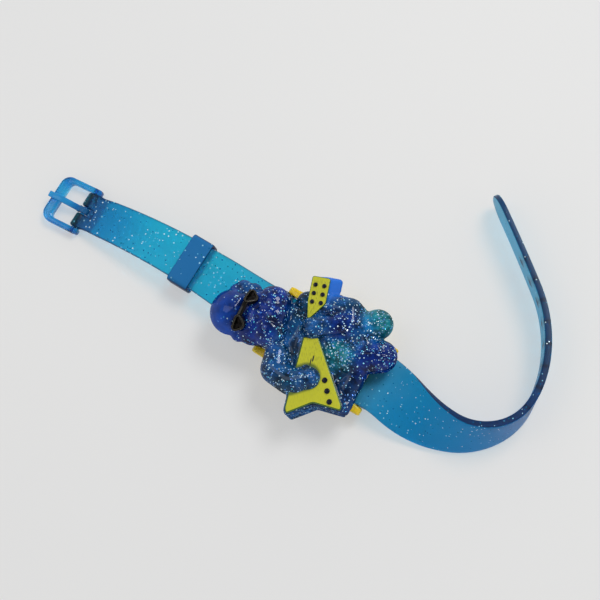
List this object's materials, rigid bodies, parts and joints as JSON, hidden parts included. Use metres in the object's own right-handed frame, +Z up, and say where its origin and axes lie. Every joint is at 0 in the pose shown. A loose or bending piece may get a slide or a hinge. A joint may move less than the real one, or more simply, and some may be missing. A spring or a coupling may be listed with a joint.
{
  "type": "toy flip-top watch",
  "caption": "Child's toy digital watch whose hinged cover is a glitter-blue figure playing a guitar, on a translucent strap with a keeper, buckle and prong.",
  "frame": {"origin": "middle of the case back's flat underside, which lies on the table", "axes": "+X along the strap from the buckle half towards the hole half, +Y towards the cover's hinge, +Z up out of the display"},
  "size_m": [0.1483, 0.0815, 0.0176],
  "materials": {
    "case_yellow": "gloss",
    "window_clear": "gloss",
    "display": "gloss",
    "carrier": "matte",
    "contact_rubber": "matte",
    "board": "satin",
    "steel": "satin",
    "clip_brass": "satin",
    "button_orange": "gloss",
    "figure_blue": "gloss with silver glitter",
    "guitar_yellow": "gloss",
    "black": "gloss",
    "strap_blue": "gloss, translucent with silver glitter",
    "keeper_blue": "gloss, translucent with silver glitter",
    "buckle_blue": "gloss, translucent"
  },
  "bodies": {
    "case": {"case_shell": "case_yellow", "case_back": "case_yellow", "case_screws": "steel", "window": "window_clear", "display_glass": "display", "module_frame": "carrier", "contact_strips": "contact_rubber", "circuit_board": "board", "contact_domes": "steel", "button_cell": "steel", "battery_clip": "clip_brass", "strap_pins": "steel", "hinge_pin": "steel"},
    "mode_button": {"mode_button": "button_orange"},
    "set_button": {"set_button": "button_orange"},
    "cover": {"cover_plate": "figure_blue", "figure": "figure_blue", "guitar_face": "guitar_yellow", "headstock_face": "guitar_yellow", "headstock_pegs": "black", "guitar_knobs": "black", "sunglasses": "black"},
    "buckle_strap": {"buckle_strap": "strap_blue"},
    "keeper": {"keeper": "keeper_blue"},
    "buckle": {"buckle_frame": "buckle_blue", "buckle_pin": "buckle_blue"},
    "prong": {"prong": "buckle_blue"},
    "hole_strap": {"hole_strap": "strap_blue"}
  },
  "joints": [
    {"name": "cover_flip", "type": "hinge", "parent": "case", "child": "cover", "pos_m": [0, 0.0133, 0.00945], "axis": [-1, 0, 0], "range_deg": [0, 90]},
    {"name": "mode_press", "type": "slide", "parent": "case", "child": "mode_button", "axis": [0, 0, -1], "range_m": [0, 0.0005], "stiffness_N_per_m": 300},
    {"name": "set_press", "type": "slide", "parent": "case", "child": "set_button", "axis": [0, 0, -1], "range_m": [0, 0.0005], "stiffness_N_per_m": 300},
    {"name": "buckle_strap_swing", "type": "hinge", "parent": "case", "child": "buckle_strap", "pos_m": [-0.0158, 0, 0.0046], "axis": [0, -1, 0], "range_deg": [0, 75]},
    {"name": "keeper_slide", "type": "hinge", "parent": "buckle_strap", "child": "keeper", "pos_m": [-0.04042, 0.00148, -0.17435], "axis": [0.0436, -0.999, 0], "range_deg": [0, 7]},
    {"name": "buckle_swing", "type": "hinge", "parent": "buckle_strap", "child": "buckle", "pos_m": [-0.0813, -0.00115, 0.0016], "axis": [0, 1, 0], "range_deg": [-45, 30]},
    {"name": "prong_swing", "type": "hinge", "parent": "buckle", "child": "prong", "pos_m": [-0.0813, -0.00115, 0.0016], "axis": [0, 1, 0], "range_deg": [0, 90]},
    {"name": "hole_strap_swing", "type": "hinge", "parent": "case", "child": "hole_strap", "pos_m": [0.0158, 0, 0.0046], "axis": [0, 1, 0], "range_deg": [0, 75]}
  ]
}
